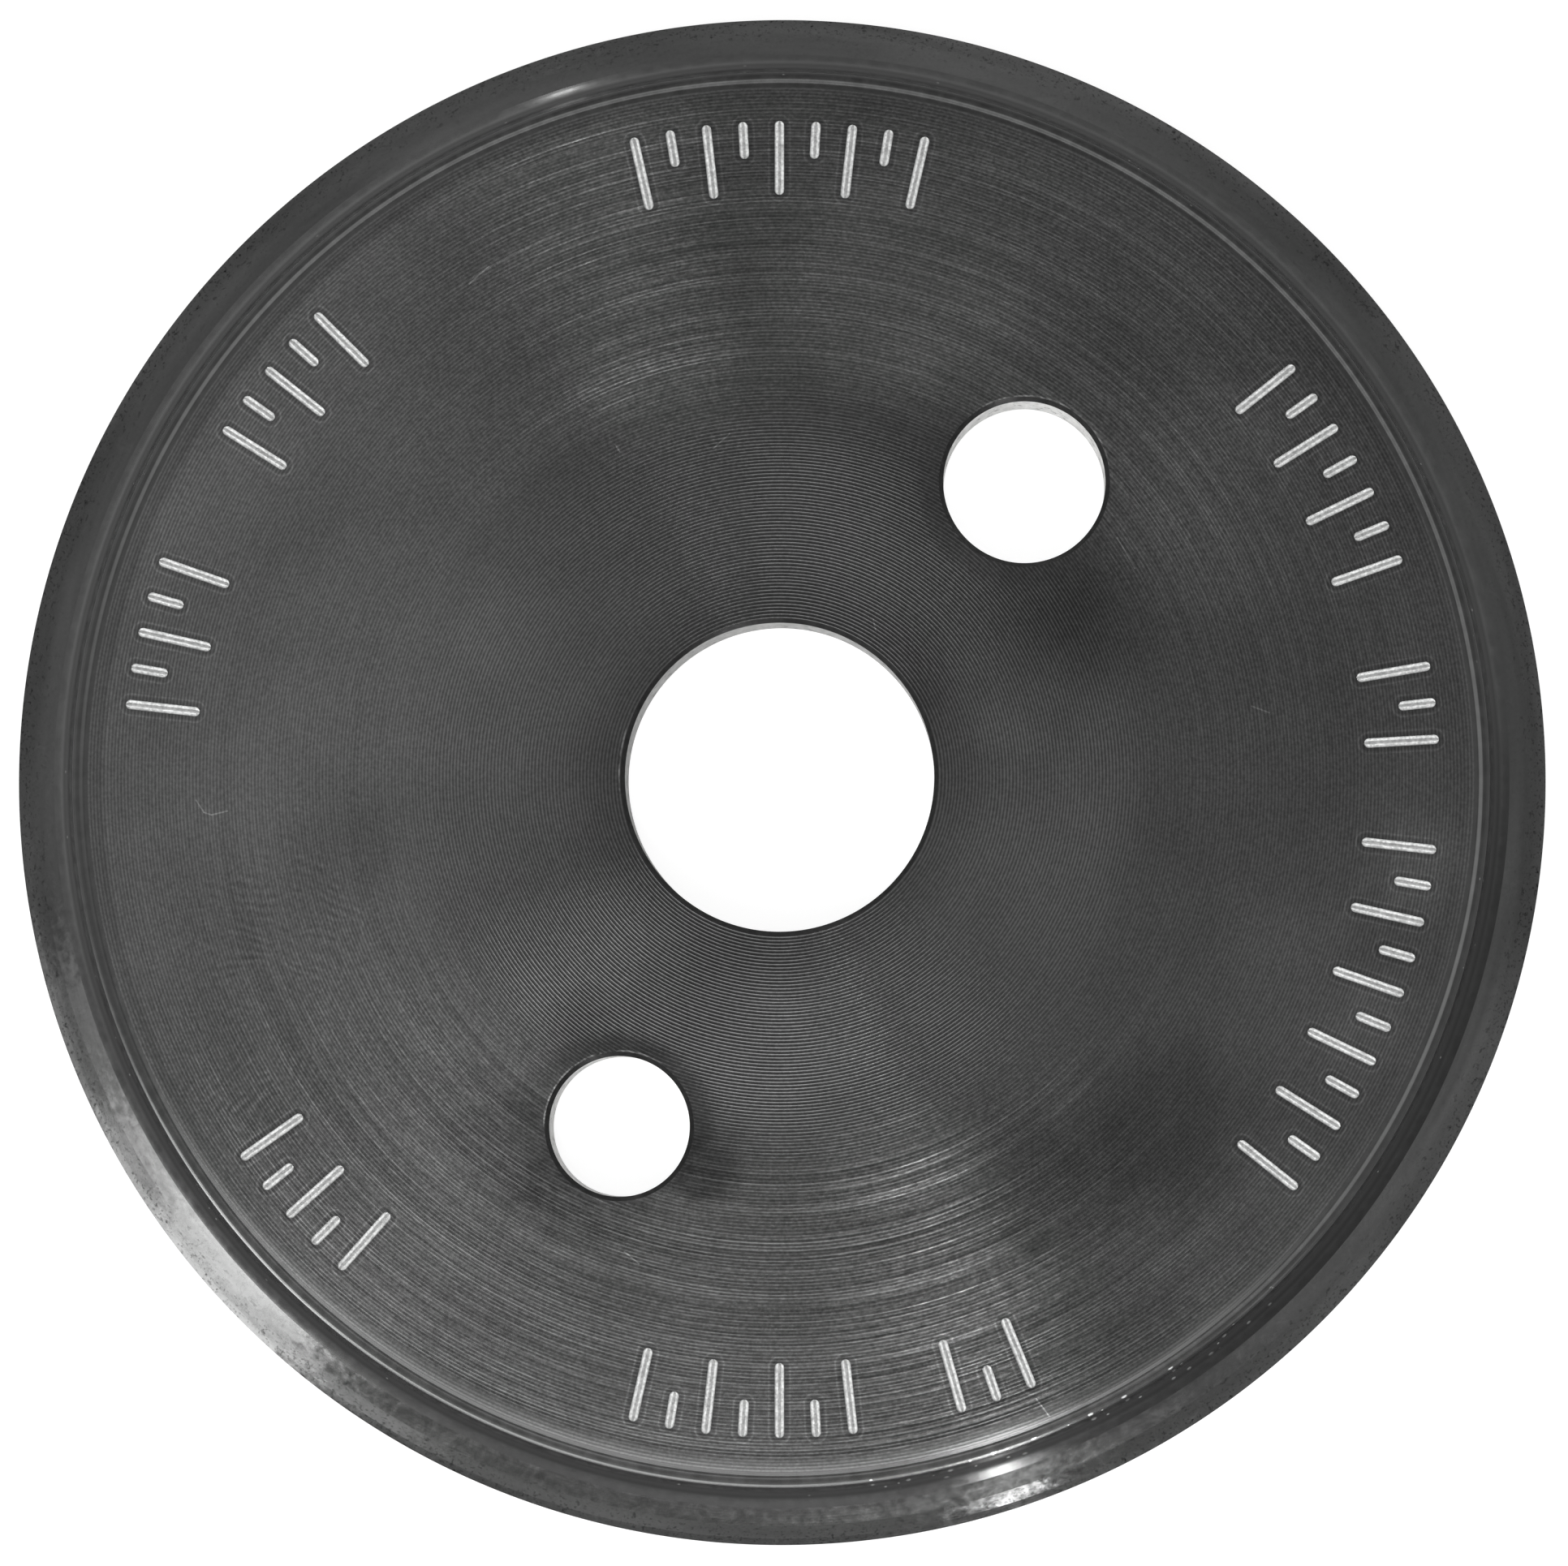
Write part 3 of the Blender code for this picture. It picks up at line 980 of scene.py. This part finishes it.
def turned_mesh(name, section, segments, closed):
    """Turn a section of (point, kind) pairs round the Z axis."""
    verts, faces, kinds = [], [], []
    count = len(section)
    for turn in range(segments):
        angle = 2.0 * pi * turn / segments
        for (radius, height), _ in section:
            verts.append((radius * cos(angle) * MM, radius * sin(angle) * MM, height * MM))
    for turn in range(segments):
        here, there = turn * count, (turn + 1) % segments * count
        for index in range(count if closed else count - 1):
            after = (index + 1) % count
            faces.append((here + index, here + after, there + after, there + index))
            kinds.append(section[index][1])
    mesh = bpy.data.meshes.new(name)
    mesh.from_pydata(verts, [], faces)
    mesh.polygons.foreach_set("material_index", kinds)
    if not closed:
        cap_ends(mesh, count, segments)
    orient(mesh)
    return mesh


def cap_ends(mesh, count, segments):
    """Close a turned mesh with a disc at each end."""
    bm = bmesh.new()
    bm.from_mesh(mesh)
    bm.verts.ensure_lookup_table()
    for row in (0, count - 1):
        bm.faces.new([bm.verts[turn * count + row] for turn in range(segments)])
    bm.to_mesh(mesh)
    bm.free()


def orient(mesh):
    """Turn all faces outwards."""
    bm = bmesh.new()
    bm.from_mesh(mesh)
    bmesh.ops.recalc_face_normals(bm, faces=bm.faces)
    bm.to_mesh(mesh)
    bm.free()


def place_object(name, data):
    obj = bpy.data.objects.new(name, data)
    bpy.context.scene.collection.objects.link(obj)
    return obj


def hole_cutter(name, radius, centre):
    """Cutter of a pin hole with a countersink at each face."""
    mouth = radius + CHAMFER + CUTTER_OVERRUN
    section = [
        ((mouth, THICKNESS + CUTTER_OVERRUN), CHAMFERED),
        ((radius, THICKNESS - CHAMFER), WALL),
        ((radius, CHAMFER), CHAMFERED),
        ((mouth, -CUTTER_OVERRUN), CHAMFERED),
    ]
    mesh = turned_mesh(name, section, HOLE_SEGMENTS, closed=False)
    cutter = place_object(name, mesh)
    cutter.location = (centre[0] * MM, centre[1] * MM, 0.0)
    return cutter


def stroke_stations(length):
    """(distance along, half width) pairs of a stroke with round ends."""
    half_width = MARK_WIDTH / 2.0
    straight = length / 2.0 - half_width
    ends = [(half_width * sin(radians(a)), half_width * cos(radians(a)))
            for a in STROKE_END_ANGLES]
    middle = max(2, round(2.0 * straight / STROKE_STEP))
    stations = [(-straight - out, half) for out, half in ends]
    stations += [(-straight + 2.0 * straight * step / middle, half_width)
                 for step in range(middle + 1)]
    stations += [(straight + out, half) for out, half in reversed(ends)]
    return stations


def add_stroke(bm, angle, inner_radius, outer_radius):
    """Add a closed cutter that leaves one etched stroke with an uneven floor."""
    way = Vector((cos(angle), sin(angle), 0.0))
    across = Vector((-sin(angle), cos(angle), 0.0))
    middle = (inner_radius + outer_radius) / 2.0
    rows = []
    for along, half in stroke_stations(outer_radius - inner_radius):
        base = way * (middle + along)
        coarse = COARSE_CRUST * noise.noise(base * COARSE_CRUST_SCALE)
        row = []
        for share, deep in STROKE_SECTION:
            spot = base + across * (share * half)
            fine = FINE_CRUST * noise.noise(spot * FINE_CRUST_SCALE)
            height = THICKNESS - MARK_DEPTH * deep * (1.0 + fine + coarse)
            row.append(bm.verts.new((spot.x * MM, spot.y * MM, height * MM)))
        for share, _ in reversed(STROKE_SECTION):
            spot = base + across * (share * half)
            height = THICKNESS + STROKE_CUTTER_RISE
            row.append(bm.verts.new((spot.x * MM, spot.y * MM, height * MM)))
        rows.append(row)
    for here, there in zip(rows, rows[1:]):
        for index in range(len(here)):
            after = (index + 1) % len(here)
            bm.faces.new((here[index], here[after], there[after], there[index]))
    bm.faces.new(rows[0])
    bm.faces.new(list(reversed(rows[-1])))


def mark_cutter():
    """All etched strokes: long and short by turns, a long one at each end of a row."""
    bm = bmesh.new()
    for first, last in MARK_ROWS:
        for step in range(first, last + 1):
            length = LONG_MARK if (step - first) % 2 == 0 else SHORT_MARK
            add_stroke(bm, step * MARK_STEP, MARK_OUTER_RADIUS - length, MARK_OUTER_RADIUS)
    bmesh.ops.triangulate(bm, faces=bm.faces)
    bmesh.ops.recalc_face_normals(bm, faces=bm.faces)
    for face in bm.faces:
        face.material_index = MARK
    mesh = bpy.data.meshes.new("marks")
    bm.to_mesh(mesh)
    bm.free()
    return place_object("marks", mesh)


def cut(wheel, cutters):
    """Cut the cutters out of the wheel for good and delete them."""
    for cutter in cutters:
        modifier = wheel.modifiers.new(cutter.name, "BOOLEAN")
        modifier.operation = "DIFFERENCE"
        modifier.solver = "EXACT"
        modifier.material_mode = "INDEX"
        modifier.object = cutter
    graph = bpy.context.evaluated_depsgraph_get()
    result = bpy.data.meshes.new_from_object(wheel.evaluated_get(graph))
    wheel.modifiers.clear()
    wheel.data = result
    for cutter in cutters:
        bpy.data.objects.remove(cutter, do_unlink=True)


def build_wheel():
    materials = [turned_face(), cove_steel(), ground_bevel(), bare_wall(), chamfer_steel(),
                 etched_mark()]
    mesh = turned_mesh("wheel", whole_section(), WHEEL_SEGMENTS, closed=True)
    wheel = place_object("turned_wheel", mesh)
    cutters = [hole_cutter("large_hole", LARGE_HOLE_RADIUS, LARGE_HOLE_CENTRE),
               hole_cutter("small_hole", SMALL_HOLE_RADIUS, SMALL_HOLE_CENTRE),
               mark_cutter()]
    for obj in [wheel] + cutters:
        for material in materials:
            obj.data.materials.append(material)
    cut(wheel, cutters)
    wheel.data.shade_smooth()
    wheel.data.set_sharp_from_angle(angle=SHARP_ANGLE)
    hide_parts("cutter_wheel")
    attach(wheel, "root")
    return wheel


# Stage, lights and camera

def grey(level):
    return level, level, level, 1.0


def build_floor():
    """White floor that still takes a faint shadow where it is seen."""
    mesh = bpy.data.meshes.new("floor")
    corners = [(x * FLOOR_REACH, y * FLOOR_REACH, 0.0)
               for x, y in ((-1.0, -1.0), (1.0, -1.0), (1.0, 1.0), (-1.0, 1.0))]
    mesh.from_pydata(corners, [], [(0, 1, 2, 3)])
    floor = place_object("floor", mesh)
    floor.location.z = -FLOOR_DROP * MM
    material = bpy.data.materials.new("floor")
    nodes = Nodes(material)
    rays = nodes.add("ShaderNodeLightPath").outputs
    seen = nodes.math("MAXIMUM", rays["Is Camera Ray"], rays["Is Glossy Ray"])
    plain = nodes.add("ShaderNodeBsdfDiffuse", (grey(FLOOR_PLAIN),))
    shadow = nodes.add("ShaderNodeBsdfDiffuse", (grey(FLOOR_SHADED),))
    glow = nodes.add("ShaderNodeEmission", (grey(1.0), FLOOR_GLOW))
    white = nodes.add("ShaderNodeAddShader")
    nodes.put(white.inputs[0], shadow.outputs[0])
    nodes.put(white.inputs[1], glow.outputs[0])
    output = nodes.add("ShaderNodeOutputMaterial")
    nodes.put(output.inputs["Surface"], nodes.mix(seen, plain, white))
    floor.data.materials.append(material)


def build_world():
    """Plain room light, shaded by the stand, and white where the camera looks past the floor."""
    world = bpy.data.worlds.new("studio")
    bpy.context.scene.world = world
    nodes = Nodes(world)
    way = nodes.vector("NORMALIZE", nodes.add("ShaderNodeTexCoord").outputs["Generated"])
    nearness = nodes.vector("DOT_PRODUCT", way, direction(*SHADE_DIRECTION))
    shade = nodes.ramp(nearness, cos(radians(SHADE_OUTER)), cos(radians(SHADE_INNER)),
                       0.0, SHADE_LIGHT)
    room = nodes.add("ShaderNodeBackground", (grey(1.0), nodes.plus(shade, ROOM_LIGHT)))
    white = nodes.add("ShaderNodeBackground", (grey(1.0), 1.0))
    seen = nodes.add("ShaderNodeLightPath").outputs["Is Camera Ray"]
    output = nodes.add("ShaderNodeOutputWorld")
    nodes.put(output.inputs["Surface"], nodes.mix(seen, room, white))


def build_lamps():
    for name, azimuth, polar, width, length, radiance in LAMPS:
        side = 2.0 * LAMP_DISTANCE * tan(radians(width / 2.0)) * MM
        along = 2.0 * LAMP_DISTANCE * tan(radians(length / 2.0)) * MM
        data = bpy.data.lights.new(name, "AREA")
        data.shape = "RECTANGLE"
        data.size = side
        data.size_y = along
        data.energy = radiance * pi * side * along
        lamp = place_object(name, data)
        back = direction(azimuth, polar)
        lamp.location = back * LAMP_DISTANCE * MM
        # The lamp's local Y lies in the upright plane through the wheel and the lamp.
        across = Vector((-sin(radians(azimuth)), cos(radians(azimuth)), 0.0))
        up = back.cross(across)
        lamp.rotation_mode = "QUATERNION"
        lamp.rotation_quaternion = Matrix((across, up, back)).transposed().to_quaternion()
        lamp.visible_camera = False


def build_camera():
    data = bpy.data.cameras.new("camera")
    data.sensor_width = SENSOR
    data.lens = FOCAL_PX / FRAME_WIDTH_PX * SENSOR
    data.clip_start = 0.01
    data.clip_end = 20.0
    camera = place_object("camera", data)
    spot = Vector((VIEW_FOOT[0], VIEW_FOOT[1], THICKNESS + VIEW_HEIGHT))
    aim = Vector((VIEW_AIM[0], VIEW_AIM[1], THICKNESS))
    camera.location = spot * MM
    back = (spot - aim).normalized()
    right = Vector((0.0, 1.0, 0.0)).cross(back).normalized()
    up = back.cross(right)
    camera.rotation_mode = "QUATERNION"
    camera.rotation_quaternion = Matrix((right, up, back)).transposed().to_quaternion()
    bpy.context.scene.camera = camera


build_wheel()
build_floor()
build_world()
build_lamps()
build_camera()
bpy.context.scene.view_settings.view_transform = "Standard"
